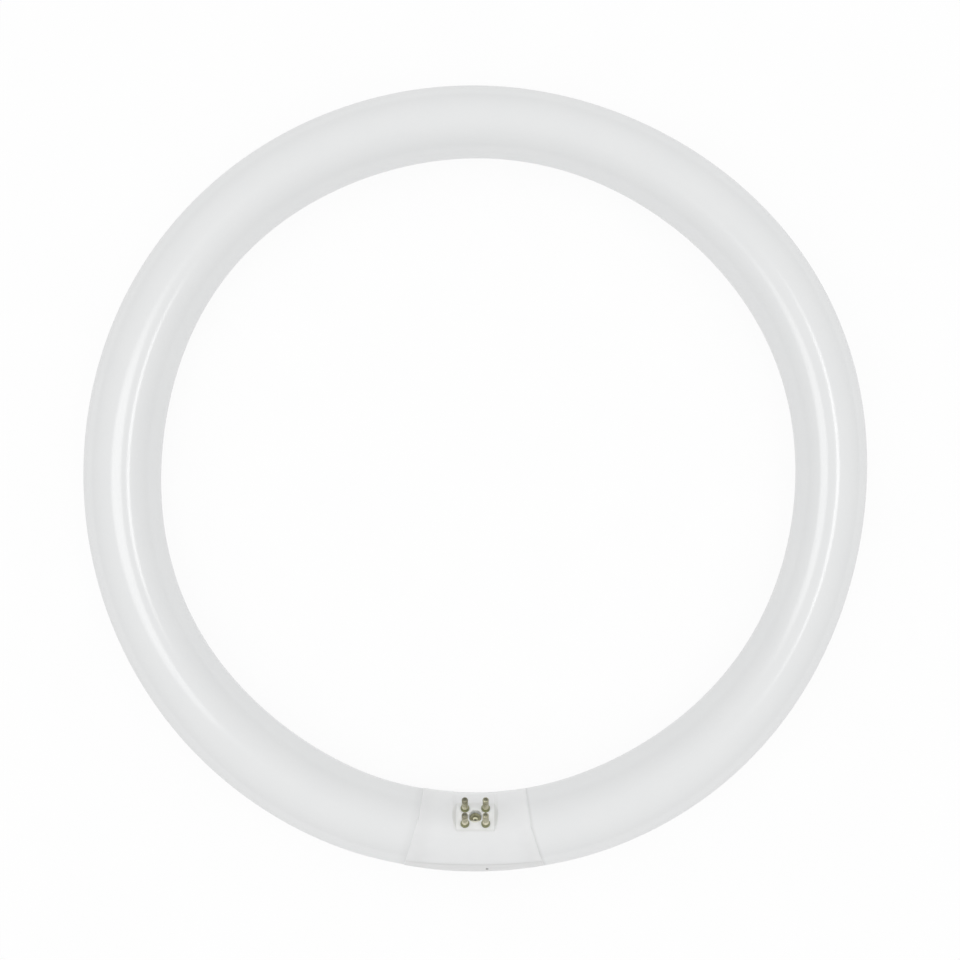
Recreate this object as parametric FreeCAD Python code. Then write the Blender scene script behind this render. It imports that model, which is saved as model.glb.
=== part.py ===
"""Circular fluorescent tube with a four-pin collar, lying flat with its pins up.

Millimetres. The origin is the middle of the ring on the surface that it lies on. +Z is up, the collar is
at -Y, and a turn round the ring is counted from the middle of the collar towards +X.
"""
import FreeCAD
import Part
import os
from math import cos, degrees, radians, sin, sqrt, tan

# The ring of glass
RING_RADIUS = 138.1
TUBE_RADIUS = 14.5

# The necked glass ends inside the collar
END_GAP = 20.0
NECK_STEP = 1.7
NECK_LENGTH = 5.5
SHOULDER_LENGTH = 6.0
SHOULDER_STEP = 0.05
SHOULDER_ROOT = 0.4
RIM_BEVEL = 1.3
RIM_WALL = 3.2
FUNNEL_DEPTH = 9.5
FUNNEL_FLOOR_RADIUS = 5.6
PRESS_LENGTH = 8.6
PRESS_THICKNESS = 2.4
PRESS_HEIGHT = 3.0
EXHAUST_RADIUS = 2.1
EXHAUST_LENGTH = 8.5
EXHAUST_POINT = 2.6

# The two halves of the collar
COLLAR_STEP = 0.6
COLLAR_WALL = 1.35
CORE_OVERLAP = 0.5
COLLAR_REACH_LEFT = 22.7
COLLAR_REACH_RIGHT = 21.7
COLLAR_FLARE = 2.4
FLARE_START_LEFT = 6.5
FLARE_START_RIGHT = 2.8
LIP_CLEARANCE = 0.15
LIP_INSET = 3.6
SPLIT_HEIGHT = 2.5
LAP_HEIGHT = 1.2
LAP_LENGTH = 29.0
LAP_CLEARANCE = 0.08
SADDLE_WIDTH = 1.2
SADDLE_INSET = 3.0
SADDLE_CLEARANCE = 0.15
NOTCH_RADIUS = 0.45
VENT_RADIUS = 0.55
VENT_SIDE = 4.5
VENT_ANGLE = 57.0

# The pad and its pins
PIN_TILT = 37.0
PAD_DEPTH = 1.4
PAD_THICKNESS = 1.7
PAD_LENGTH = 14.4
PAD_DRAFT_ANGLE = 45.0
PAD_END_CLEARANCE = 2.0
PAD_RELIEF = 0.35
PAD_RELIEF_EDGE = 0.1
PAD_RELIEF_LOW = 5.0
PAD_RELIEF_OUTER = 5.4
PIN_SPACING_ALONG = 7.92
PIN_SPACING_OVER = 6.35
PIN_RADIUS = 1.175
PIN_BORE_RADIUS = 0.65
PIN_LENGTH = 7.6
PIN_TIP_BEVEL = 0.4
PIN_FLANGE_RADIUS = 1.7
PIN_FLANGE_THICKNESS = 0.45
PIN_BARREL_RADIUS = 1.4
PIN_TAIL_LENGTH = 1.6
PIN_SWAGE_RADIUS = 1.8
PIN_SWAGE_THICKNESS = 0.5
PIN_HOLE_CLEARANCE = 0.05
PIN_DENT_RADIUS = 0.6
PIN_DENT_DEPTH = 0.22
PIN_DENT_HEIGHT = 2.3

# The rivet and the posts that it runs through
RIVET_RADIUS = 1.5
RIVET_BORE_RADIUS = 1.0
RIVET_HEAD_RADIUS = 2.25
RIVET_HEAD_THICKNESS = 0.55
RIVET_HEAD_BEVEL = 0.22
RIVET_HOLE_CLEARANCE = 0.1
RIVET_SINK_CLEARANCE = 0.35
RIVET_SINK_DEPTH = 2.2
RIVET_BACK_DEPTH = 1.2
POST_WALL = 1.5

# The lead wires and their sleeves
LEAD_RADIUS = 0.25
LEAD_SPREAD = 2.9
LEAD_DROP = 10.4
LEAD_STAGGER = 2.0
LEAD_BEND = 4.0
LEAD_TIP_GAP = 1.0
SLEEVE_RADIUS = 0.6
SLEEVE_BORE_RADIUS = 0.35
SLEEVE_GAP = 0.3

CENTRE = FreeCAD.Vector(0, 0, 0)
UP = FreeCAD.Vector(0, 0, 1)
ALONG = FreeCAD.Vector(1, 0, 0)

# What follows the size of the tube: its necks, the collar round it and the pad
NECK_RADIUS = TUBE_RADIUS - NECK_STEP
COLLAR_RADIUS = TUBE_RADIUS + COLLAR_STEP
PAD_HEIGHT = COLLAR_RADIUS - PAD_DEPTH

# The lamp lies on its collar, which sets the height of the ring's axis
AXIS_HEIGHT = COLLAR_RADIUS

# A cutting form this long reaches past every side of the collar
PAST = 30.0


def turn_at(distance):
    """Turn, in degrees, that lies a distance along the ring from the middle of the collar."""
    return degrees(distance / RING_RADIUS)


def ring_point(turn, radius=RING_RADIUS, height=AXIS_HEIGHT):
    angle = radians(turn)
    return FreeCAD.Vector(radius * sin(angle), -radius * cos(angle), height)


def ring_tangent(turn):
    angle = radians(turn)
    return FreeCAD.Vector(cos(angle), sin(angle), 0)


def ring_bar(radius, first_turn, last_turn):
    """Round bar bent along the ring's axis."""
    circle = Part.Circle(ring_point(first_turn), ring_tangent(first_turn), radius)
    return Part.Face(Part.Wire(circle.toShape())).revolve(CENTRE, UP, last_turn - first_turn)


# Distances along the ring, from the middle of the collar, to the end of the glass and of its shoulder
END = END_GAP / 2
SHOULDER_END = END + NECK_LENGTH + SHOULDER_LENGTH

# How far round the ring the collar reaches, and how far inside the axis it starts to flare: 1 right, -1 left
REACHES = {1: COLLAR_REACH_RIGHT, -1: COLLAR_REACH_LEFT}
FLARE_STARTS = {1: FLARE_START_RIGHT, -1: FLARE_START_LEFT}


def end_frame(side):
    """Placement at a sealed end of the glass, 1 right or -1 left: Z out of the glass along it, Y up."""
    end = ring_point(turn_at(END) * side)
    out = (end - ring_point(turn_at(SHOULDER_END) * side)).normalize()
    return FreeCAD.Placement(end, FreeCAD.Rotation(UP.cross(out), UP, out, "ZXY"))


def profile_face(steps):
    """Face to be revolved round Z, from (radius, height) corners; a step of two corners is an arc."""
    edges = []
    last = FreeCAD.Vector(steps[0][0], 0, steps[0][1])
    for step in steps[1:] + steps[:1]:
        places = [FreeCAD.Vector(step[number], 0, step[number + 1]) for number in range(0, len(step), 2)]
        line = Part.Arc(last, *places) if len(places) > 1 else Part.LineSegment(last, places[0])
        edges.append(line.toShape())
        last = places[-1]
    return Part.Face(Part.Wire(edges))


def glass_end(frame):
    """Sealed end as one turned form: shoulder, neck, melted rim, funnel and exhaust stub."""
    root_radius = TUBE_RADIUS - SHOULDER_STEP
    shoulder = (SHOULDER_END - END) * -1
    neck = -NECK_LENGTH
    middle = (shoulder + neck) / 2
    drop = root_radius - NECK_RADIUS
    bend = (SHOULDER_LENGTH**2 + drop**2) / (4 * drop)
    quarter = SHOULDER_LENGTH / 4
    sag = bend - sqrt(bend**2 - quarter**2)
    mouth = NECK_RADIUS - RIM_WALL
    tip = EXHAUST_LENGTH - FUNNEL_DEPTH
    steps = [
        (0, shoulder - SHOULDER_ROOT),
        (root_radius, shoulder - SHOULDER_ROOT),
        (root_radius, shoulder),
        (root_radius - sag, shoulder + quarter, root_radius - drop / 2, middle),
        (NECK_RADIUS + sag, neck - quarter, NECK_RADIUS, neck),
        (NECK_RADIUS, -RIM_BEVEL),
        (NECK_RADIUS - RIM_BEVEL / 2, 0),
        (mouth + RIM_BEVEL / 2, 0),
        (mouth, -RIM_BEVEL),
        (FUNNEL_FLOOR_RADIUS, -FUNNEL_DEPTH),
        (EXHAUST_RADIUS, -FUNNEL_DEPTH),
        (EXHAUST_RADIUS, tip - EXHAUST_POINT),
        (0, tip),
    ]
    turned = profile_face(steps).revolve(CENTRE, UP, 360)
    turned.Placement = frame
    return turned


def press(frame):
    """Flat press of the stem, which the lead wires come out of."""
    block = Part.makeBox(PRESS_THICKNESS, PRESS_LENGTH, PRESS_HEIGHT)
    block.translate(FreeCAD.Vector(-PRESS_THICKNESS / 2, -PRESS_LENGTH / 2, -FUNNEL_DEPTH))
    block.Placement = frame.multiply(block.Placement)
    return block


def glass_tube():
    turn = turn_at(SHOULDER_END)
    tube = ring_bar(TUBE_RADIUS, turn, 360 - turn)
    frames = [end_frame(side) for side in (1, -1)]
    return tube.fuse([glass_end(frame) for frame in frames] + [press(frame) for frame in frames])


# The pins' own directions: out is the way that they point, over is square to it, towards the ring's middle
TILT = radians(PIN_TILT)
BASE_AXIS = ring_point(0)
OUT = FreeCAD.Vector(0, sin(TILT), cos(TILT))
OVER = FreeCAD.Vector(0, cos(TILT), -sin(TILT))
PAD_INNER = PAD_HEIGHT - PAD_THICKNESS
RIVET_SEAT = PAD_HEIGHT - RIVET_SINK_DEPTH
RIVET_BACK_SEAT = RIVET_BACK_DEPTH - COLLAR_RADIUS
POST_RADIUS = RIVET_RADIUS + RIVET_HOLE_CLEARANCE + POST_WALL
CAVITY_RADIUS = COLLAR_RADIUS - COLLAR_WALL
LAP_RADIUS = COLLAR_RADIUS - COLLAR_WALL / 2


def pad_point(along, over, out):
    """Place by the pad, from the tube's axis in the middle of the collar, in the pins' own directions."""
    return BASE_AXIS + ALONG * along + OVER * over + OUT * out


def pad_prism(outline, way):
    """Prism from the corners of a flat outline, as long as the vector that it is drawn out along."""
    return Part.Face(Part.makePolygon(outline + outline[:1])).extrude(way)


def pad_box(length, low, high, over_low=-PAST, over_high=PAST):
    """Box square to the pins, from low to high along them."""
    half = length / 2
    corners = [(-half, over_low), (half, over_low), (half, over_high), (-half, over_high)]
    points = [pad_point(along, over, low) for along, over in corners]
    return pad_prism(points, OUT * (high - low))


def pad_cylinder(radius, low, high, along=0.0, over=0.0):
    return Part.makeCylinder(radius, high - low, pad_point(along, over, low), OUT)


def collar_plan():
    """Upright block with the collar's outline from above; its ends flare on the outer side."""
    points = []
    for side, reach in REACHES.items():
        half = [
            (reach, RING_RADIUS - PAST),
            (reach, RING_RADIUS - FLARE_STARTS[side]),
            (reach + COLLAR_FLARE, RING_RADIUS + COLLAR_RADIUS),
            (reach + COLLAR_FLARE, RING_RADIUS + PAST),
        ]
        points += [ring_point(turn_at(distance) * side, radius, 0) for distance, radius in half[::side]]
    return Part.Face(Part.makePolygon(points + points[:1])).extrude(UP * 2 * AXIS_HEIGHT)


def bent_bore(radius):
    """Bore through the collar in three straight lengths: over the gap, and round each neck."""
    reach = END + CORE_OVERLAP
    quarter_point = ring_point(turn_at(END / 2))
    start = FreeCAD.Vector(-reach, quarter_point.y, AXIS_HEIGHT)
    middle = Part.makeCylinder(radius, 2 * reach, start, ALONG)
    sides = []
    for side in (1, -1):
        length = SHOULDER_END - END
        core = Part.makeCylinder(radius, length + CORE_OVERLAP, FreeCAD.Vector(0, 0, -length))
        core.Placement = end_frame(side)
        sides.append(core)
    return middle.fuse(sides)


def collar_cavity():
    """Hollow of the collar: the bent bore, stepping out to a thin lip round the glass at each mouth."""
    mouths = []
    for side, reach in REACHES.items():
        turn = turn_at(reach) * side
        inward = ring_tangent(turn) * -side
        start = ring_point(turn) + inward * (reach - SHOULDER_END + LIP_INSET)
        mouths.append(Part.makeCylinder(TUBE_RADIUS + LIP_CLEARANCE, PAST, start, inward * -1))
    return bent_bore(CAVITY_RADIUS).fuse(mouths)


def saddle_rib(side):
    """Rib inside the collar that holds the neck of the glass at one side."""
    foot = FreeCAD.Vector(0, 0, -SADDLE_INSET - SADDLE_WIDTH)
    outer = Part.makeCylinder(CAVITY_RADIUS + COLLAR_WALL / 2, SADDLE_WIDTH, foot)
    rib = outer.cut(Part.makeCylinder(NECK_RADIUS + SADDLE_CLEARANCE, SADDLE_WIDTH, foot))
    rib.Placement = end_frame(side)
    return rib


def pad_recess():
    """What is cut away over the pad: a trough with sloping ends, and a shallow band with ramped edges."""
    slope = tan(radians(PAD_DRAFT_ANGLE))
    bottom = PAD_LENGTH / 2
    top = bottom + (PAST - PAD_HEIGHT) * slope
    corners = [(-bottom, PAD_HEIGHT), (bottom, PAD_HEIGHT), (top, PAST), (-top, PAST)]
    points = [pad_point(along, -PAST, out) for along, out in corners]
    trough = pad_prism(points, OVER * 2 * PAST)
    ramp = PAD_DEPTH * slope
    band = pad_box(PAD_LENGTH + 2 * ramp, PAD_RELIEF_LOW, PAST, -PAD_RELIEF_OUTER)
    low_radius = COLLAR_RADIUS - PAD_RELIEF
    high_radius = COLLAR_RADIUS + PAD_RELIEF_EDGE
    kept = [Part.makeCylinder(low_radius, 2 * PAST, pad_point(-PAST, 0, 0), ALONG)]
    for side in (1, -1):
        kept.append(Part.makeCone(low_radius, high_radius, ramp, pad_point(bottom * side, 0, 0), ALONG * side))
    return trough.fuse(band.cut(kept))


def lap_zone(clearance):
    """Where the back half's thin inner edge stands up inside the front half, with a clearance round it."""
    low = SPLIT_HEIGHT - clearance
    high = SPLIT_HEIGHT + LAP_HEIGHT + clearance
    block = pad_box(LAP_LENGTH + 2 * clearance, low, high)
    return bent_bore(LAP_RADIUS + clearance).cut(bent_bore(CAVITY_RADIUS - clearance)).common(block)


def pin_places():
    """Number of each pin with its places along the tube and over the pad."""
    places = [(side, row) for row in (1, -1) for side in (-1, 1)]
    return [
        (number, side * PIN_SPACING_ALONG / 2, row * PIN_SPACING_OVER / 2)
        for number, (side, row) in enumerate(places, 1)
    ]


def collar_shell():
    """Whole collar before it is split, with its ribs and no holes."""
    half_turn = turn_at(max(REACHES.values()) + 2 * COLLAR_FLARE)
    outer = ring_bar(COLLAR_RADIUS, -half_turn, half_turn).common(collar_plan())
    shell = outer.cut(collar_cavity()).fuse([saddle_rib(side) for side in (1, -1)])
    return outer, shell


def post(low, high):
    return pad_cylinder(POST_RADIUS, low, high)


def rivet_holes():
    bore = pad_cylinder(RIVET_RADIUS + RIVET_HOLE_CLEARANCE, -PAST, PAST)
    sink_radius = RIVET_HEAD_RADIUS + RIVET_SINK_CLEARANCE
    front = pad_cylinder(sink_radius, RIVET_SEAT, PAST)
    back = pad_cylinder(sink_radius, -PAST, RIVET_BACK_SEAT)
    return [bore, front, back]


def base_shell_front():
    outer, shell = collar_shell()
    block = pad_box(END_GAP - 2 * PAD_END_CLEARANCE, PAD_INNER, PAST).common(outer)
    shell = shell.common(pad_box(2 * PAST, SPLIT_HEIGHT, PAST))
    shell = shell.cut(lap_zone(LAP_CLEARANCE)).fuse([block, post(SPLIT_HEIGHT, PAD_HEIGHT)])
    holes = [
        pad_cylinder(PIN_BARREL_RADIUS + PIN_HOLE_CLEARANCE, PAD_INNER - PIN_TAIL_LENGTH, PAST, along, over)
        for _, along, over in pin_places()
    ]
    kink = ring_point(turn_at(COLLAR_REACH_RIGHT), RING_RADIUS - FLARE_START_RIGHT)
    notch = Part.makeCylinder(NOTCH_RADIUS, PAST, kink)
    return shell.cut([pad_recess(), notch] + holes + rivet_holes())


def base_shell_back():
    outer, shell = collar_shell()
    shell = shell.common(pad_box(2 * PAST, -PAST, SPLIT_HEIGHT))
    shell = shell.fuse([lap_zone(0), post(-COLLAR_RADIUS, SPLIT_HEIGHT).common(outer)])
    angle = radians(VENT_ANGLE)
    outward = FreeCAD.Vector(0, -sin(angle), cos(angle))
    start = BASE_AXIS + ALONG * VENT_SIDE + outward * NECK_RADIUS
    vent = Part.makeCylinder(VENT_RADIUS, PAST, start, outward)
    return shell.cut([vent] + rivet_holes())


def turned_piece(steps, along=0.0, over=0.0):
    """Piece turned round a line that points the way of the pins, from (radius, out) corners."""
    turned = profile_face(steps).revolve(CENTRE, UP, 360)
    rotation = FreeCAD.Rotation(ALONG, OUT.cross(ALONG), OUT, "ZXY")
    turned.Placement = FreeCAD.Placement(pad_point(along, over, 0), rotation)
    return turned


def contact_pin(along, over):
    """Hollow pin: a swaged barrel through the pad, a flange on it, a rounded tip and a crimped dent."""
    tip = PAD_HEIGHT + PIN_LENGTH
    tail = PAD_INNER - PIN_TAIL_LENGTH
    flange = PAD_HEIGHT + PIN_FLANGE_THICKNESS
    steps = [
        (PIN_BORE_RADIUS, tail),
        (PIN_BARREL_RADIUS, tail),
        (PIN_BARREL_RADIUS, PAD_INNER - PIN_SWAGE_THICKNESS),
        (PIN_SWAGE_RADIUS, PAD_INNER),
        (PIN_BARREL_RADIUS, PAD_INNER),
        (PIN_BARREL_RADIUS, PAD_HEIGHT),
        (PIN_FLANGE_RADIUS, PAD_HEIGHT),
        (PIN_FLANGE_RADIUS, flange),
        (PIN_RADIUS, flange),
        (PIN_RADIUS, tip - PIN_TIP_BEVEL),
        (PIN_RADIUS - PIN_TIP_BEVEL / 3, tip - PIN_TIP_BEVEL / 3),
        (PIN_RADIUS - PIN_TIP_BEVEL, tip),
        (PIN_BORE_RADIUS, tip),
    ]
    dent_over = over - PIN_RADIUS - PIN_DENT_RADIUS + PIN_DENT_DEPTH
    dent = Part.makeSphere(PIN_DENT_RADIUS, pad_point(along, dent_over, PAD_HEIGHT + PIN_DENT_HEIGHT))
    return turned_piece(steps, along, over).cut(dent)


def base_rivet():
    """Hollow rivet through both halves, with a rolled head at each end."""
    front = RIVET_SEAT + RIVET_HEAD_THICKNESS
    back = RIVET_BACK_SEAT - RIVET_HEAD_THICKNESS
    edge = RIVET_HEAD_RADIUS - RIVET_HEAD_BEVEL
    steps = [
        (RIVET_BORE_RADIUS, back + RIVET_HEAD_BEVEL),
        (RIVET_BORE_RADIUS + RIVET_HEAD_BEVEL, back),
        (edge, back),
        (RIVET_HEAD_RADIUS, back + RIVET_HEAD_BEVEL),
        (RIVET_HEAD_RADIUS, RIVET_BACK_SEAT),
        (RIVET_RADIUS, RIVET_BACK_SEAT),
        (RIVET_RADIUS, RIVET_SEAT),
        (RIVET_HEAD_RADIUS, RIVET_SEAT),
        (RIVET_HEAD_RADIUS, front - RIVET_HEAD_BEVEL),
        (edge, front),
        (RIVET_BORE_RADIUS + RIVET_HEAD_BEVEL, front),
        (RIVET_BORE_RADIUS, front - RIVET_HEAD_BEVEL),
    ]
    return turned_piece(steps)


def bend_reach(points, bend):
    """How far a bend of a given radius reaches from its corner along each of the two straight runs."""
    before, corner, after = points
    return bend / tan((before - corner).getAngle(after - corner) / 2)


def bent_rod(points, bend, radius):
    """Round rod of straight runs through three points, with a bend at the middle one."""
    before, corner, after = points
    inward = (before - corner).normalize()
    onward = (after - corner).normalize()
    reach = bend_reach(points, bend)
    first = corner + inward * reach
    last = corner + onward * reach
    centre = corner + (inward + onward).normalize() * sqrt(bend**2 + reach**2)
    section = Part.Face(Part.Wire(Part.Circle(first, inward, radius).toShape()))
    arc = section.revolve(centre, onward.cross(inward), 180 - degrees(inward.getAngle(onward)))
    runs = [
        Part.makeCylinder(radius, first.distanceToPoint(before), first, inward),
        Part.makeCylinder(radius, last.distanceToPoint(after), last, onward),
    ]
    return arc.fuse(runs)


def lead_frame(along):
    """Placement at the sealed end that the lead wire of a pin comes from."""
    return end_frame(1 if along > 0 else -1)


def lead_points(along, over):
    """Route of a lead wire: out of the stem along the funnel, then up under its pin and into it."""
    row = 1 if over > 0 else -1
    foot = FreeCAD.Vector(0, -row * LEAD_SPREAD, PRESS_HEIGHT / 2 - FUNNEL_DEPTH)
    start = lead_frame(along).multVec(foot)
    corner = pad_point(along, over, PAD_INNER - PIN_TAIL_LENGTH - LEAD_DROP + row * LEAD_STAGGER)
    return [start, corner, pad_point(along, over, PAD_HEIGHT + PIN_LENGTH - LEAD_TIP_GAP)]


def lead_wire(along, over):
    """Lead wire from the face of the stem's press to just inside the tip of its pin."""
    return bent_rod(lead_points(along, over), LEAD_BEND, LEAD_RADIUS).cut(press(lead_frame(along)))


def lead_sleeve(along, over):
    """Insulating sleeve on the upright run of a lead wire, up to the tail of its pin."""
    points = lead_points(along, over)
    low = (points[1] - BASE_AXIS).dot(OUT) + bend_reach(points, LEAD_BEND) + SLEEVE_GAP
    high = PAD_INNER - PIN_TAIL_LENGTH - SLEEVE_GAP
    outer = pad_cylinder(SLEEVE_RADIUS, low, high, along, over)
    return outer.cut(pad_cylinder(SLEEVE_BORE_RADIUS, low, high, along, over))


def pieces():
    """Every piece of the lamp by name."""
    made = {
        "glass_tube": glass_tube(),
        "base_shell_front": base_shell_front(),
        "base_shell_back": base_shell_back(),
        "base_rivet": base_rivet(),
    }
    for number, along, over in pin_places():
        made[f"contact_pin_{number}"] = contact_pin(along, over)
        made[f"lead_wire_{number}"] = lead_wire(along, over)
        made[f"lead_sleeve_{number}"] = lead_sleeve(along, over)
    return made


os.makedirs("parts", exist_ok=True)
for name, shape in pieces().items():
    shape.exportStep(f"parts/{name}.step")
    print(name, len(shape.Solids), shape.isValid(), round(shape.Volume, 1))
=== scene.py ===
# %% [markdown]
# # A circular fluorescent tube
# The lamp is a ring of white-coated glass. Its two sealed ends meet in a small moulded collar, which
# carries four hollow brass pins on a flat pad.
# The hard pieces come from the CAD frame in their true places. This script gives them their finishes,
# shapes the ring of glass again with the slight unevenness of a tube that was bent while soft, and sets
# up the floor, the lights and the camera.

import math

import bmesh
import bpy
from mathutils import Matrix, Vector


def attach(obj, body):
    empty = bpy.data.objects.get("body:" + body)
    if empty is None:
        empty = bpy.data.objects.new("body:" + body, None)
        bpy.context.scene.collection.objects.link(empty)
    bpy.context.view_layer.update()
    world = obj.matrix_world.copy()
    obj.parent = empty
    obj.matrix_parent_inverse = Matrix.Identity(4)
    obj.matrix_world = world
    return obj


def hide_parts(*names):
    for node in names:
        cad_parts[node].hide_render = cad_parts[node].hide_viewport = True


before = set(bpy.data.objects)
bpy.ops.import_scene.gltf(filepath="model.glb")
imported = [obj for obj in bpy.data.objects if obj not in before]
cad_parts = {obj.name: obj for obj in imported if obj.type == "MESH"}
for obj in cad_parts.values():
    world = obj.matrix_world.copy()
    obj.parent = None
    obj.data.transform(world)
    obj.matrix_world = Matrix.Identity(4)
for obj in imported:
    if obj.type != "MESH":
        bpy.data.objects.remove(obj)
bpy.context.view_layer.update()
print("CAD nodes:", len(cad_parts))

# %% [markdown]
# ## Where things are on the ring
# Every place on the lamp is easiest to say as a turn round the ring, counted from the middle of the
# collar, at -Y, towards +X. Two small functions turn that into points and directions. All lengths are
# in metres, as everywhere in Blender.

# %% Places on the ring
MM = 0.001
ORIGIN = Vector((0, 0, 0))
ACROSS = Vector((1, 0, 0))
RING_RADIUS = 138.1 * MM
TUBE_RADIUS = 14.5 * MM
COLLAR_RADIUS = 15.1 * MM
AXIS_HEIGHT = COLLAR_RADIUS
END_DISTANCE = 10.0 * MM
SHOULDER_DISTANCE = 21.5 * MM
RIGHT, LEFT = 1, -1


def ring_point(turn, radius=RING_RADIUS):
    """Point on the ring's middle line, or at another radius beside it."""
    angle = math.radians(turn)
    return Vector((radius * math.sin(angle), -radius * math.cos(angle), AXIS_HEIGHT))


def turn_at(distance):
    """Degrees round the ring that a distance along its middle line takes up."""
    return math.degrees(distance / RING_RADIUS)


COLLAR_MIDDLE = ring_point(0)
print("the glass ends at", round(turn_at(END_DISTANCE), 2), "degrees each side of the collar's middle")

# %% [markdown]
# ## The ring of glass
# A straight tube is heated and wound round a drum, so the finished ring is never perfect: its thickness
# swells and shrinks by a few per cent, and its middle line wanders by about half a millimetre.
# Both can be written as a few slow waves round the ring. The wander fades out towards the collar. The
# swell goes on right up to the collar's edge, where the glass stands flush with the plastic, and ends
# there in a fine step, because under the thin lips the glass has to be as slim as in the frame. Where
# the tube is at its widest it is a little oval, since the drum keeps it flat.

# %% Swell and drift
SWELL = [(1, 0.59, 328), (2, 0.18, 173), (3, 0.28, 15), (4, 0.19, 36), (5, 0.20, 40), (6, 0.12, 23)]
DRIFT = [(1, 0.33, 106), (3, 0.49, 111), (4, 0.23, 33), (6, 0.25, 53)]
MEAN_TUBE_RADIUS = 14.45 * MM
TALLEST_TUBE_RADIUS = 15.08 * MM
COLLAR_REACH = {RIGHT: 21.7 * MM, LEFT: 22.7 * MM}
COLLAR_FLARE = 2.4 * MM
FLARE_START = {RIGHT: 2.8 * MM, LEFT: 6.5 * MM}
STEP_TURN = 0.035
FADE_TURN = 14.0


def waves(turn, harmonics):
    """Sum of waves round the ring, each with a count, a height in millimetres and a crest in degrees."""
    total = 0
    for count, height, crest in harmonics:
        total += height * math.cos(math.radians(count * (turn - crest)))
    return total * MM


def ease(share):
    """Soft start and soft stop between 0 and 1."""
    share = min(max(share, 0), 1)
    return share * share * (3 - 2 * share)


def past_joint(turn, outward):
    """Degrees past the edge of the collar, which lies further round on the outer side of the ring."""
    side = RIGHT if turn < 180 else LEFT
    share = (outward + FLARE_START[side]) / (COLLAR_RADIUS + FLARE_START[side])
    return min(turn, 360 - turn) - turn_at(COLLAR_REACH[side] + COLLAR_FLARE * max(share, 0))


def glass_section(turn, outward):
    """Radius of the ring's middle line and of the tube, at a turn from 0 to 360 and a place across it."""
    clear = past_joint(turn, outward)
    free = ease(clear / STEP_TURN)
    tube_radius = TUBE_RADIUS + free * (MEAN_TUBE_RADIUS + waves(turn, SWELL) - TUBE_RADIUS)
    wander = ease(clear / FADE_TURN) * waves(turn, DRIFT)
    return RING_RADIUS + wander, tube_radius


radii = [glass_section(turn, 0)[1] / MM for turn in range(11, 350)]
print("tube radius from", round(min(radii), 2), "to", round(max(radii), 2), "mm")

# %% [markdown]
# The tube itself is one circle spun round the ring. Spinning gives clean, even faces, and the waves are
# then added by moving each vertex in its own section. The spin's steps are much finer by the collar, so
# that the fine step at the joint comes out crisp. The spin stops short of the collar's middle on both
# sides, because the ends are shaped differently. Each vertex also stores how far past the joint it lies,
# which the finish reads later.

# %% Spin the tube
TUBE_SIDES = 96
FINE_TURN = 2.4
FINE_STEPS = 80
RING_STEPS = 380

glass = bmesh.new()
start_turn = turn_at(SHOULDER_DISTANCE)
bmesh.ops.create_circle(glass, segments=TUBE_SIDES, radius=TUBE_RADIUS)
stand_up = Matrix.Rotation(math.radians(90), 4, "Y")
swing_round = Matrix.Rotation(math.radians(start_turn), 4, "Z")
bmesh.ops.transform(
    glass, matrix=Matrix.Translation(ring_point(start_turn)) @ swing_round @ stand_up, verts=glass.verts
)
last_made = glass.edges[:]
for spun_turn, steps in (
    (FINE_TURN, FINE_STEPS),
    (360 - 2 * start_turn - 2 * FINE_TURN, RING_STEPS),
    (FINE_TURN, FINE_STEPS),
):
    made = bmesh.ops.spin(
        glass,
        geom=last_made,
        cent=(0, 0, 0),
        axis=(0, 0, 1),
        angle=math.radians(spun_turn),
        steps=steps,
    )
    last_made = made["geom_last"]
joint_layer = glass.verts.layers.float.new("past_joint")
for vert in glass.verts:
    turn = math.degrees(math.atan2(vert.co.x, -vert.co.y)) % 360
    outward = math.hypot(vert.co.x, vert.co.y) - RING_RADIUS
    axis_radius, tube_radius = glass_section(turn, outward)
    vert[joint_layer] = past_joint(turn, outward)
    place = ring_point(turn, axis_radius + outward * tube_radius / TUBE_RADIUS)
    place.z += (vert.co.z - AXIS_HEIGHT) * min(tube_radius, TALLEST_TUBE_RADIUS) / TUBE_RADIUS
    vert.co = place
print("spun tube:", len(glass.verts), "vertices,", len(glass.faces), "faces")

# %% [markdown]
# Each end of the glass is necked down, sealed with a funnel-shaped stem, and has a stub of the thin
# tube that the air was pumped out through. The collar hides all of this, but the piece is whole.
# It could be a second spin about the end's own line, joined on afterwards. Extruding the tube's open edge
# step by step along the straight end gives the same turned shape and is joined from the start. Each step
# is a distance along the end and a radius in millimetres, as on a lathe.

# %% Neck, rim, funnel and exhaust stub
NECK_RADIUS = 12.8
RIM_INNER_RADIUS = 9.6
FLOOR_RADIUS = 5.6
STUB_RADIUS = 2.1
END_STEPS = [
    (1.5, 14.1),
    (3.0, 13.6),
    (4.5, 13.1),
    (6.0, NECK_RADIUS),
    (10.2, NECK_RADIUS),
    (11.1, NECK_RADIUS - 0.3),
    (11.5, NECK_RADIUS - 1.0),
    (11.5, RIM_INNER_RADIUS + 1.0),
    (11.1, RIM_INNER_RADIUS + 0.3),
    (10.2, RIM_INNER_RADIUS),
    (2.0, FLOOR_RADIUS),
    (2.0, STUB_RADIUS),
    (8.0, STUB_RADIUS),
    (9.6, STUB_RADIUS / 2),
]
STUB_TIP = 10.4


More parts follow.
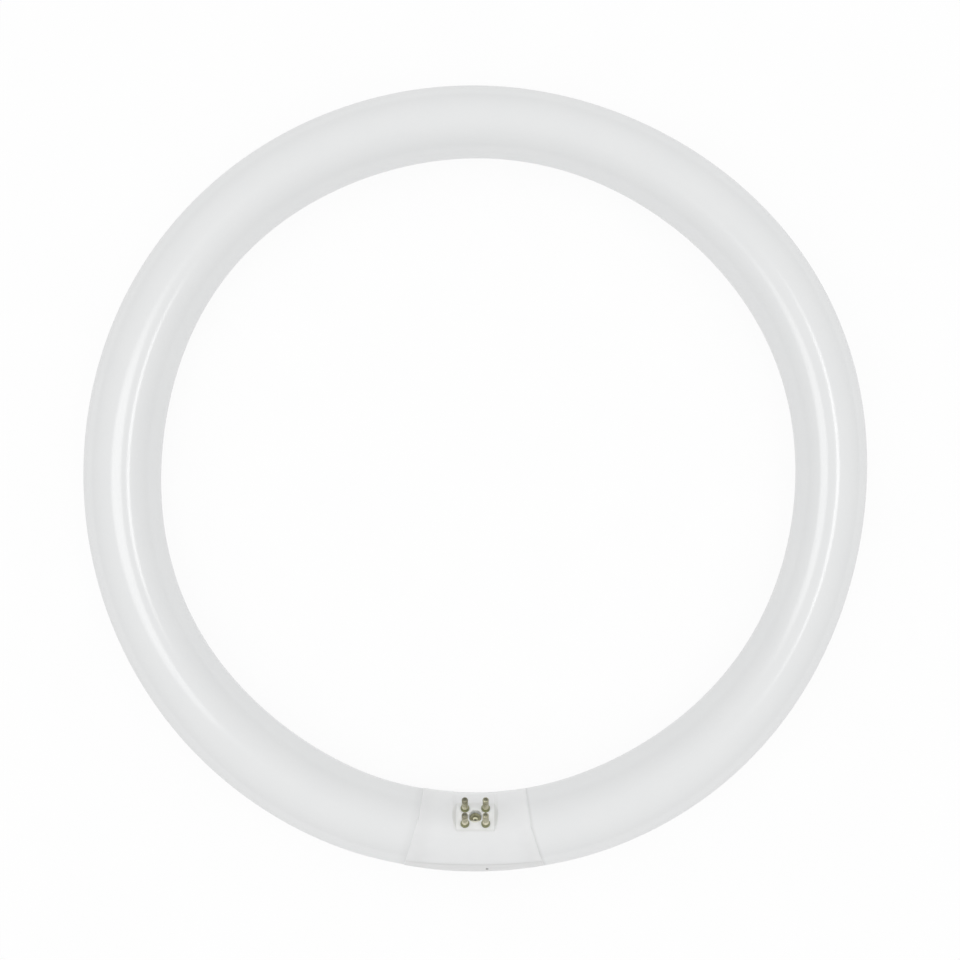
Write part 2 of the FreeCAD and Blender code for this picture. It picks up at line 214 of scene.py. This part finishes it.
def close_end(side):
    """Shapes the sealed end at one side of the collar from the tube's open edge, and gives its place."""
    start = ring_point(turn_at(SHOULDER_DISTANCE) * side)
    way = (ring_point(turn_at(END_DISTANCE) * side) - start).normalized()
    lean = math.radians(turn_at(SHOULDER_DISTANCE - END_DISTANCE) / 2) * -side
    edges = [edge for edge in glass.edges if edge.is_boundary and edge.verts[0].co.x * side > 0]
    reached, radius = 0, TUBE_RADIUS / MM
    for number, (distance, new_radius) in enumerate(END_STEPS):
        made = bmesh.ops.extrude_edge_only(glass, edges=edges)["geom"]
        verts = [item for item in made if isinstance(item, bmesh.types.BMVert)]
        edges = [item for item in made if isinstance(item, bmesh.types.BMEdge) and item.is_boundary]
        centre = start + way * reached * MM
        if number == 0:
            bmesh.ops.rotate(glass, cent=centre, matrix=Matrix.Rotation(lean, 3, "Z"), verts=verts)
        size = new_radius / radius
        bmesh.ops.scale(glass, vec=(size, size, size), space=Matrix.Translation(-centre), verts=verts)
        bmesh.ops.translate(glass, vec=way * (distance - reached) * MM, verts=verts)
        reached, radius = distance, new_radius
    made = bmesh.ops.extrude_edge_only(glass, edges=edges)["geom"]
    verts = [item for item in made if isinstance(item, bmesh.types.BMVert)]
    bmesh.ops.pointmerge(glass, verts=verts, merge_co=start + way * STUB_TIP * MM)
    return Matrix.Translation(start) @ way.to_track_quat("Z", "Y").to_matrix().to_4x4()


end_places = [close_end(side) for side in (RIGHT, LEFT)]
print("open edges left:", sum(edge.is_boundary for edge in glass.edges))

# %% [markdown]
# The stem's flat press, which the lead wires come out of, is a small block with rounded edges that
# stands on the floor of the funnel.

# %% Presses
PRESS_SIZE = Vector((2.4, 8.6, 3.0)) * MM
PRESS_FOOT = 2.0 * MM
PRESS_EDGE = 0.4 * MM


def add_press(place):
    """Adds one press, in the place of its sealed end."""
    made = bmesh.ops.create_cube(glass, size=1)["verts"]
    upright = Matrix.Translation((0, 0, PRESS_FOOT + PRESS_SIZE.z / 2)) @ Matrix.Diagonal((*PRESS_SIZE, 1))
    bmesh.ops.transform(glass, matrix=place @ upright, verts=made)
    edges = list({edge for vert in made for edge in vert.link_edges})
    bmesh.ops.bevel(
        glass, geom=edges, offset=PRESS_EDGE, segments=2, profile=0.5, material=-1, affect="EDGES"
    )


for place in end_places:
    add_press(place)
bmesh.ops.recalc_face_normals(glass, faces=glass.faces)


def finish_piece(shape, name):
    """Makes a finished bmesh a smooth-shaded object that rides on the lamp."""
    mesh = bpy.data.meshes.new(name)
    shape.to_mesh(mesh)
    shape.free()
    mesh.shade_smooth()
    piece = bpy.data.objects.new(name, mesh)
    bpy.context.scene.collection.objects.link(piece)
    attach(piece, "root")
    print(name, "has", len(mesh.polygons), "faces")
    return piece


glass_ring = finish_piece(glass, "glass_ring")
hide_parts("glass_tube")

# %% [markdown]
# ## Writing finishes as sums
# Each finish is a small set of shader nodes. Wiring Math nodes by hand is slow to read, so a socket is
# wrapped in a class whose operators add the nodes: `1 - mask * 0.3` then reads as it would on paper.
# Any other node comes from one method that sets the node's options first and its inputs after.

# %% A socket that can be calculated with
class Value:
    """One number of a shader, which can be added to, multiplied and so on."""

    def __init__(self, finish, socket):
        self.finish = finish
        self.socket = socket

    def calculate(self, operation, *values):
        return self.finish.node("ShaderNodeMath", {"operation": operation}, dict(enumerate(values)))

    def __add__(self, other):
        return self.calculate("ADD", self, other)

    def __radd__(self, other):
        return self.calculate("ADD", other, self)

    def __sub__(self, other):
        return self.calculate("SUBTRACT", self, other)

    def __rsub__(self, other):
        return self.calculate("SUBTRACT", other, self)

    def __mul__(self, other):
        return self.calculate("MULTIPLY", self, other)

    def __rmul__(self, other):
        return self.calculate("MULTIPLY", other, self)

    def __abs__(self):
        return self.calculate("ABSOLUTE", self)


class Finish:
    """A material in the making, with the nodes that most finishes start from."""

    def __init__(self, name):
        self.material = bpy.data.materials.new(name)
        self.material.use_nodes = True
        self.tree = self.material.node_tree
        self.tree.nodes.clear()
        self.place = self.node("ShaderNodeTexCoord", {}, {}, "Object")

    def node(self, kind, settings, inputs, output=0):
        """Adds a node, sets its options and inputs, and gives back one of its outputs."""
        made = self.tree.nodes.new(kind)
        for option, setting in settings.items():
            setattr(made, option, setting)
        for number, value in inputs.items():
            if isinstance(value, Value):
                self.tree.links.new(value.socket, made.inputs[number])
            else:
                made.inputs[number].default_value = value
        return None if output is None else Value(self, made.outputs[output])

    def noise(self, scale, detail=2.0, roughness=0.5):
        """Soft random blotches; the scale is how many fit in a metre."""
        inputs = {"Vector": self.place, "Scale": scale, "Detail": detail, "Roughness": roughness}
        return self.node("ShaderNodeTexNoise", {}, inputs, "Fac")

    def blend(self, share, first, second):
        """Colour between two colours."""
        settings = {"data_type": "RGBA"}
        return self.node("ShaderNodeMix", settings, {"Factor": share, 6: first, 7: second}, 2)

    def vector(self, operation, *vectors, output=0):
        """Sum on vectors, such as a difference, or a number that is made from them."""
        settings = {"operation": operation}
        return self.node("ShaderNodeVectorMath", settings, dict(enumerate(vectors)), output)

    def along(self, way, start):
        """Distance of the surface along a direction, from a start point."""
        return self.vector("DOT_PRODUCT", self.vector("SUBTRACT", self.place, start), way, output="Value")

    def flat_distance(self, centre):
        """Distance from a centre, in which height counts for a fifth."""
        flat = self.vector("MULTIPLY", self.vector("SUBTRACT", self.place, centre), (1, 1, 0.2))
        return self.vector("LENGTH", flat, output="Value")

    def step(self, value, low, high):
        """Smooth step from 0 at low to 1 at high."""
        settings = {"interpolation_type": "SMOOTHSTEP"}
        inputs = {"Value": value, "From Min": low, "From Max": high}
        return self.node("ShaderNodeMapRange", settings, inputs, "Result")

    def attribute(self, name):
        """Value that was stored on each vertex of the piece."""
        return self.node("ShaderNodeAttribute", {"attribute_name": name}, {}, "Fac")

    def bump(self, height, strength, distance):
        """Fine relief; the distance is how deep the height from 0 to 1 is, in metres."""
        inputs = {"Strength": strength, "Distance": distance, "Height": height}
        return self.node("ShaderNodeBump", {}, inputs)

    def surface(self, **inputs):
        """Closes the material with one Principled shader."""
        named = {name.replace("_", " "): value for name, value in inputs.items()}
        shader = self.node("ShaderNodeBsdfPrincipled", {}, named)
        self.node("ShaderNodeOutputMaterial", {}, {"Surface": shader}, None)
        print("finish", self.material.name, "has", len(self.tree.nodes), "nodes")
        return self.material


# %% [markdown]
# ## Coated glass
# The white is a powder on the inside of the glass, so the surface is two things at once: an even matte
# white with very faint clouds where the powder settled thicker, and clear polished glass over it.
# A white base under a glossy coat gives both. A slow, shallow bump makes the reflections waver a
# little, as they do in drawn glass, and a few specks of dust dull the gloss. Right by the collar the
# colour is painted greyer, as painted shade at the joint: softly at the left end, in a narrow band at the
# right end. Light that wanders through the glass keeps the fine gap at the collar from going black,
# which a faint painted glow in the gap stands for. The bands and the gap are given in degrees past the
# joint.

# %% Coated glass
BLACK, WHITE = (0, 0, 0, 1), (1, 1, 1, 1)
THIN_COATING, THICK_COATING = (0.775, 0.785, 0.79, 1), (0.815, 0.82, 0.82, 1)
# grey of the painted shade by the collar's joint
JOINT_SHADE_GREY = (0.30, 0.30, 0.30, 1)
MIDDLE_BLEND = 10 * MM
SOFT_SHADE_BAND, NARROW_SHADE_BAND = (0.1, 1.7), (0.05, 0.7)
GAP_START, GAP_END = (-0.3, -0.05), (0.04, 0.12)


def coated_glass():
    """White powder under clear glass, with painted shade by the collar and a faint painted glow in the
    gap.
    """
    finish = Finish("coated_glass")
    clouds = finish.noise(55, 3)
    grain = finish.noise(900, 2)
    specks = finish.step(finish.noise(420, 1), 0.72, 0.78)
    thickness = clouds * 0.7 + grain * 0.3
    past_edge = finish.attribute("past_joint")
    at_right = finish.step(finish.along(ACROSS, ORIGIN), -MIDDLE_BLEND, MIDDLE_BLEND)
    # painted shade: the glass is painted greyer by the joint, softly at the left end
    soft_joint_shade = (1 - finish.step(past_edge, *SOFT_SHADE_BAND)) * (1 - at_right) * 0.09
    # painted shade in a narrow band by the joint at the right end
    narrow_joint_shade = (1 - finish.step(past_edge, *NARROW_SHADE_BAND)) * at_right * 0.2
    # painted light: a faint glow in the fine gap between glass and collar
    in_gap = finish.step(past_edge, *GAP_START) * (1 - finish.step(past_edge, *GAP_END))
    even = finish.blend(thickness, THIN_COATING, THICK_COATING)
    colour = finish.blend(soft_joint_shade + narrow_joint_shade, even, JOINT_SHADE_GREY)
    wave = finish.noise(38, 1)
    turned_away = finish.node("ShaderNodeLayerWeight", {}, {"Blend": 0.5}, "Facing")
    return finish.surface(
        Base_Color=colour,
        Roughness=0.3 + clouds * 0.08 + specks * 0.1,
        Specular_IOR_Level=0.05,
        Coat_Weight=(1 - specks * 0.4) * (1 - finish.step(turned_away, 0.3, 0.85)),
        Coat_Roughness=0.14,
        Emission_Color=finish.blend(in_gap * (0.15 + at_right * 0.08), BLACK, WHITE),
        Emission_Strength=1.0,
        Normal=finish.bump(wave, 0.25, 0.6 * MM),
    )


glass_ring.data.materials.append(coated_glass())

# %% [markdown]
# ## Moulded collar
# The collar is white injection-moulded plastic with a soft sheen, and a little light passes through it,
# which softens every edge and recess. The two halves meet on a flat plane that is square to the pins,
# and the joint shows as a faint line with a trace of dust in it. The back half is a shade darker. The
# pad between the pins is painted a shade lighter, as painted light that lifts the shade in its recess,
# and the plastic round the small vent is painted darker, as painted shade that widens the vent's dark
# opening. All of these lie along two directions, out of the tube and over it, so each is a soft step
# along one of them. That needs no texture image and no seams to unwrap, and it stays in place from every
# side. Each pair of lengths says where such a step starts and where it is complete.

# %% Moulded collar
PIN_TILT = math.radians(37)
OUT = Vector((0, math.sin(PIN_TILT), math.cos(PIN_TILT)))
OVER = Vector((0, math.cos(PIN_TILT), -math.sin(PIN_TILT)))
SPLIT_HEIGHT = 2.5 * MM
SEAM_EDGE, HALF_EDGE = (0.06 * MM, 0.28 * MM), (-0.1 * MM, 0.1 * MM)
PAD_FLOOR, PAD_TOP, PAD_END = (10 * MM, 13 * MM), (13.7 * MM, 14 * MM), (7.8 * MM, 8.8 * MM)
PAD_NEAR, PAD_FAR = (-6 * MM, -5 * MM), (2 * MM, 5 * MM)
VENT_PLACE = Vector((4.5, -150.8, 23.3)) * MM
# where the painted shade round the vent fades out
VENT_SHADE_EDGE = (0.3 * MM, 0.85 * MM)
MATT_WHITE, CLEAR_WHITE = (0.80, 0.805, 0.81, 1), (0.83, 0.835, 0.835, 1)
# white of the pad, painted lighter as painted light in the recess
PAD_LIT_WHITE = (0.925, 0.94, 0.945, 1)
BACK_GREY = (0.745, 0.745, 0.745, 1)
# grey for the dust in the seam and for the painted shade round the vent
DUST_AND_SHADE_GREY = (0.3, 0.3, 0.3, 1)


def collar_plastic():
    """White plastic, with a seam, a darker back half, a pad painted lighter as painted light, and painted
    shade round the vent.
    """
    finish = Finish("collar_plastic")
    out = finish.along(OUT, COLLAR_MIDDLE)
    over = finish.along(OVER, COLLAR_MIDDLE)
    across = abs(finish.along(ACROSS, ORIGIN))
    line = 1 - finish.step(abs(out - SPLIT_HEIGHT), *SEAM_EDGE)
    back_half = 1 - finish.step(out - SPLIT_HEIGHT, *HALF_EDGE)
    on_pad = (1 - finish.step(out, *PAD_TOP)) * finish.step(out, *PAD_FLOOR)
    on_pad *= 1 - finish.step(across, *PAD_END)
    on_pad *= finish.step(over, *PAD_NEAR) * (1 - finish.step(over, *PAD_FAR))
    # painted shade: the plastic is painted darker round the small vent, widening its dark opening
    vent_shade = 1 - finish.step(finish.flat_distance(VENT_PLACE), *VENT_SHADE_EDGE)
    grain = finish.noise(2400, 2)
    clouds = finish.noise(160, 2)
    colour = finish.blend(clouds, MATT_WHITE, CLEAR_WHITE)
    # painted light: the pad is painted a shade lighter, to lift the shade in its recess
    colour = finish.blend(on_pad, colour, PAD_LIT_WHITE)
    colour = finish.blend(back_half, colour, BACK_GREY)
    # dust in the seam line, and the painted shade round the vent
    colour = finish.blend(line * 0.05 + vent_shade * 0.65, colour, DUST_AND_SHADE_GREY)
    return finish.surface(
        Base_Color=colour,
        Roughness=0.42 + clouds * 0.1,
        Subsurface_Weight=0.6,
        Subsurface_Radius=(1.0, 1.0, 1.0),
        Subsurface_Scale=0.8 * MM,
        Normal=finish.bump(grain * 0.25 - line * 0.15, 0.5, 0.12 * MM),
    )


# %% [markdown]
# ## Brass pins, rivet and lead wires
# The pins are drawn brass that has dulled in the air. Drawing leaves fine scratches along the pin, and
# handling leaves darker, rougher patches. On top of that every metal can have marks of its own: the
# pins are dark at their tips, where they were crimped and dipped in solder, less so on the right-hand
# pins; a painted highlight brightens the foot of the shaft, more on the lower row, and painted shade
# darkens the flange. The rivet is dark all over but for a painted highlight on its lower lip and the
# light that is caught in its bore, which a faint painted glow stands for. One function makes every
# metal here, and takes a piece's marks as a function of its own, so that no metal repeats the nodes of
# another.

# %% Drawn metal
CAUGHT_LIGHT = (0.58, 0.57, 0.42, 1)


def drawn_metal(name, bright, dull, base_roughness, marks=None, glow=None):
    """Drawn metal with patches of tarnish, from a bright and a dull colour, and marks in other colours."""
    finish = Finish(name)
    patches = finish.step(finish.noise(700, 4, 0.65), 0.4, 0.68)
    scratches = finish.noise(5200, 1)
    colour = finish.blend(patches, bright, dull)
    for share, mark_colour in marks(finish) if marks else ():
        colour = finish.blend(share, colour, mark_colour)
    shine = {}
    if glow:
        shine["Emission_Color"] = finish.blend(glow(finish), BLACK, CAUGHT_LIGHT)
        shine["Emission_Strength"] = 1.0
    return finish.surface(
        Base_Color=colour,
        Metallic=1 - patches * 0.15,
        Roughness=base_roughness + patches * 0.22 + scratches * 0.06,
        Normal=finish.bump(scratches, 0.25, 0.03 * MM),
        **shine,
    )


# %% Marks on the pins and the rivet
# colour of the painted highlight at the pins' foot
FOOT_HIGHLIGHT_BRASS = (0.97, 0.92, 0.76, 1)
# colour of the painted shade on the pins' flange
FLANGE_SHADE_BRASS = (0.27, 0.285, 0.175, 1)
TIP_BRASS = (0.25, 0.24, 0.175, 1)
# colour of the painted highlight on the rivet's lower lip
LIP_HIGHLIGHT = (0.90, 0.89, 0.78, 1)
MIDDLE_STRIP = (-1 * MM, 1 * MM)
PIN_FLANGE, PIN_FOOT, PIN_TIP = (14.5 * MM, 15.2 * MM), (16.0 * MM, 17.6 * MM), (19.4 * MM, 20.8 * MM)
LIP_OVER, LIP_OUT = (-1.35 * MM, -0.85 * MM), (11 * MM, 11.5 * MM)
BORE_FLOOR, BORE_MOUTH = (8.6 * MM, 9.2 * MM), (10.5 * MM, 11.1 * MM)


def pin_marks(finish):
    """Painted highlight on the foot, stronger on the lower row, painted shade on the flange, and a dark
    tip, less dark on the right column.
    """
    out = finish.along(OUT, COLLAR_MIDDLE)
    right_column = finish.step(finish.along(ACROSS, ORIGIN), *MIDDLE_STRIP)
    lower_row = 1 - finish.step(finish.along(OVER, COLLAR_MIDDLE), *MIDDLE_STRIP)
    tip = finish.step(out, *PIN_TIP)
    foot_highlight = 1 - finish.step(out, *PIN_FOOT)
    flange_shade = 1 - finish.step(out, *PIN_FLANGE)
    return [
        # painted highlight on the foot of the shaft, stronger on the lower row
        (foot_highlight * (0.4 + lower_row * 0.35), FOOT_HIGHLIGHT_BRASS),
        # painted shade on the flange, where the pin meets the pad
        (flange_shade * 0.9, FLANGE_SHADE_BRASS),
        (tip * (0.9 - right_column * 0.55), TIP_BRASS),
    ]


def rivet_marks(finish):
    """Painted highlight on the lower lip of the rivet's head."""
    out = finish.along(OUT, COLLAR_MIDDLE)
    over = finish.along(OVER, COLLAR_MIDDLE)
    # painted highlight on the rivet's lower lip
    lip_highlight = (1 - finish.step(over, *LIP_OVER)) * finish.step(out, *LIP_OUT)
    return [(lip_highlight * 0.9, LIP_HIGHLIGHT)]


def rivet_glow(finish):
    """Share of the caught light, deep in the rivet's bore."""
    out = finish.along(OUT, COLLAR_MIDDLE)
    return finish.step(out, *BORE_FLOOR) * (1 - finish.step(out, *BORE_MOUTH))


# %% [markdown]
# ## Sleeves
# Each lead wire runs through a short sleeve of woven glass fibre, which keeps the two wires of an end
# apart. The collar hides them, so the threads aren't modelled one by one: a fine noise in both colour
# and relief reads as weave at that size.

# %% Sleeve fibre
FIBRE_SHADE, FIBRE_PALE = (0.72, 0.68, 0.56, 1), (0.84, 0.81, 0.72, 1)


def sleeve_fibre():
    """Pale woven sleeving."""
    finish = Finish("sleeve_fibre")
    weave = finish.noise(3200, 2)
    return finish.surface(
        Base_Color=finish.blend(weave, FIBRE_SHADE, FIBRE_PALE),
        Roughness=0.75 + weave * 0.1,
        Normal=finish.bump(weave, 0.5, 0.1 * MM),
    )


# %% [markdown]
# ## Dressing the CAD pieces
# Each CAD piece takes the finish of its material slot. The pieces are found by the start of their
# names, so all four pins share one material.

# %% Dress the CAD pieces
BRASS, DULL_BRASS = (0.54, 0.52, 0.38, 1), (0.33, 0.315, 0.22, 1)
RIVET_METAL, DULL_RIVET = (0.34, 0.33, 0.22, 1), (0.22, 0.21, 0.13, 1)
WIRE_METAL, DULL_WIRE = (0.62, 0.60, 0.56, 1), (0.38, 0.36, 0.33, 1)

finishes = {
    "base_shell": collar_plastic(),
    "contact_pin": drawn_metal("pin_brass", BRASS, DULL_BRASS, 0.3, pin_marks),
    "base_rivet": drawn_metal("rivet_metal", RIVET_METAL, DULL_RIVET, 0.38, rivet_marks, rivet_glow),
    "lead_wire": drawn_metal("lead_metal", WIRE_METAL, DULL_WIRE, 0.35),
    "lead_sleeve": sleeve_fibre(),
}
for name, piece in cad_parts.items():
    for start, material in finishes.items():
        if name.startswith(start):
            for slot in piece.material_slots:
                slot.material = material
            print(name, "is", material.name)

# %% [markdown]
# ## Solder
# The wires are soldered into the tips of the pins, so a dab of dull grey solder closes each bore. It is
# a flattened ball that sits just inside the rim. A flat disc would do from afar, but the dome catches
# the light as molten metal does that has set.

# %% Solder in the pins
PIN_ACROSS, PIN_OVER = 3.96 * MM, 3.175 * MM
PIN_TOP = 21.3 * MM
SOLDER_RADIUS = 0.66 * MM
SOLDER_HALF_HEIGHT = 0.22 * MM
SOLDER_SINK = 0.05 * MM
SOLDER_METAL, DULL_SOLDER = (0.26, 0.26, 0.20, 1), (0.16, 0.16, 0.12, 1)

solder = bmesh.new()
square_to_pad = Matrix((ACROSS, OVER, OUT)).transposed().to_4x4()
flat_ball = Matrix.Diagonal((SOLDER_RADIUS, SOLDER_RADIUS, SOLDER_HALF_HEIGHT, 1))
for side in (RIGHT, LEFT):
    for row in (1, -1):
        centre = COLLAR_MIDDLE + ACROSS * side * PIN_ACROSS + OVER * row * PIN_OVER
        centre += OUT * (PIN_TOP - SOLDER_HALF_HEIGHT - SOLDER_SINK)
        placed = Matrix.Translation(centre) @ square_to_pad @ flat_ball
        bmesh.ops.create_uvsphere(solder, u_segments=24, v_segments=12, radius=1, matrix=placed)
bmesh.ops.recalc_face_normals(solder, faces=solder.faces)
solder_dabs = finish_piece(solder, "solder_dabs")
solder_dabs.data.materials.append(drawn_metal("solder", SOLDER_METAL, DULL_SOLDER, 0.5))

# %% [markdown]
# ## Floor
# The lamp is shown from straight above on a bright white surface, as in a catalogue. A plain grid is
# enough for it. Most of its brightness is its own, as on a light table, so the lamp's shade stays faint.

# %% Floor
FLOOR_SIZE = 6.0
FLOOR_DROP = 0.2 * MM
PAPER_GREY, PAPER_PALE = (0.115, 0.115, 0.115, 1), (0.125, 0.125, 0.125, 1)


def white_floor():
    """White paper that is lit from below."""
    finish = Finish("white_floor")
    paper = finish.noise(30, 2)
    return finish.surface(
        Base_Color=finish.blend(paper, PAPER_GREY, PAPER_PALE),
        Roughness=0.9,
        Emission_Color=WHITE,
        Emission_Strength=0.856,
    )


floor_shape = bmesh.new()
bmesh.ops.create_grid(floor_shape, x_segments=1, y_segments=1, size=FLOOR_SIZE / 2)
bmesh.ops.translate(floor_shape, vec=(0, 0, -FLOOR_DROP), verts=floor_shape.verts)
floor_mesh = bpy.data.meshes.new("floor")
floor_shape.to_mesh(floor_mesh)
floor_shape.free()
floor = bpy.data.objects.new("floor", floor_mesh)
bpy.context.scene.collection.objects.link(floor)
floor.data.materials.append(white_floor())
print("floor:", FLOOR_SIZE, "m wide")

# %% [markdown]
# ## Lights
# Two softboxes give the soft lines along the tube: a broad one to the left and a narrow one to the
# right. They are drawn out along Y, so their reflections run along the sides of the ring. Each is two
# ovals, a longer one just behind a shorter one, so that the lines fade out. They only show in the gloss
# and light nothing else.

# %% Lights
RING_MIDDLE = Vector((0, 0, AXIS_HEIGHT))


def soft_light(name, place, width, length, brightness):
    """Long oval light that faces the middle of the ring, drawn out along Y, and seen only in gloss."""
    lamp = bpy.data.lights.new(name, "AREA")
    lamp.shape = "ELLIPSE"
    lamp.size = width
    lamp.size_y = length
    lamp.energy = brightness * math.pi * (math.pi / 4 * width * length)
    lamp_object = bpy.data.objects.new(name, lamp)
    lamp_object.location = place
    backward = (place - RING_MIDDLE).normalized()
    sideways = Vector((0, 1, 0)).cross(backward).normalized()
    turned = Matrix((sideways, backward.cross(sideways), backward)).transposed()
    lamp_object.rotation_mode = "QUATERNION"
    lamp_object.rotation_quaternion = turned.to_quaternion()
    lamp_object.visible_camera = False
    lamp_object.visible_diffuse = False
    bpy.context.scene.collection.objects.link(lamp_object)
    print(name, "gives", round(lamp.energy, 3), "W")


LEFT_PLACE = Vector((-0.182, -0.005, 0.485))
RIGHT_PLACE = Vector((0.266, 0.002, 0.760))
BEHIND = 1.02
soft_light("broad_light_middle", LEFT_PLACE, 0.24, 0.15, 0.9)
soft_light("broad_light_ends", LEFT_PLACE * BEHIND, 0.26, 0.23, 1.75)
soft_light("narrow_light_middle", RIGHT_PLACE, 0.13, 0.21, 3.2)
soft_light("narrow_light_ends", RIGHT_PLACE * BEHIND, 0.13, 0.33, 1.4)

# %% [markdown]
# The rest of the light comes from all round, more of it from overhead than from low down, which is what
# rounds the tube off towards its edges. The height of each direction in the sky mixes the two.

# %% Light from all round
HORIZON_LIGHT = 0.462
OVERHEAD_LIGHT = 1.237

world = bpy.data.worlds.new("studio")
world.use_nodes = True
world.node_tree.nodes.clear()
new_node, new_link = world.node_tree.nodes.new, world.node_tree.links.new
direction = new_node("ShaderNodeTexCoord")
height = new_node("ShaderNodeSeparateXYZ")
new_link(direction.outputs["Generated"], height.inputs["Vector"])
sky = new_node("ShaderNodeMixShader")
new_link(height.outputs["Z"], sky.inputs["Fac"])
for number, strength in enumerate((HORIZON_LIGHT, OVERHEAD_LIGHT), 1):
    background = new_node("ShaderNodeBackground")
    background.inputs["Color"].default_value = WHITE
    background.inputs["Strength"].default_value = strength
    new_link(background.outputs["Background"], sky.inputs[number])
world_output = new_node("ShaderNodeOutputWorld")
new_link(sky.outputs["Shader"], world_output.inputs["Surface"])
bpy.context.scene.world = world
print("light from", HORIZON_LIGHT, "at the horizon to", OVERHEAD_LIGHT, "overhead")

# %% [markdown]
# ## Camera
# The camera looks straight down from a little over twice the lamp's width, which is near enough for the
# tilted pins to show their sides. It needs no turn, because a camera in Blender looks down by itself.

# %% Camera
CAMERA_HEIGHT = 0.640
CAMERA_PLACE = RING_MIDDLE + Vector((0.0018, -0.0014, CAMERA_HEIGHT))
NEAREST_SEEN = 10 * MM
SENSOR_WIDTH = 36.0
FRAME_WIDTH = 0.3733

camera_data = bpy.data.cameras.new("camera")
camera_data.sensor_width = SENSOR_WIDTH
camera_data.lens = SENSOR_WIDTH * CAMERA_HEIGHT / FRAME_WIDTH
camera_data.clip_start = NEAREST_SEEN
camera = bpy.data.objects.new("camera", camera_data)
camera.location = CAMERA_PLACE
bpy.context.scene.collection.objects.link(camera)
bpy.context.scene.camera = camera
bpy.context.scene.view_settings.view_transform = "Standard"
print("lens:", round(camera_data.lens, 2), "mm")
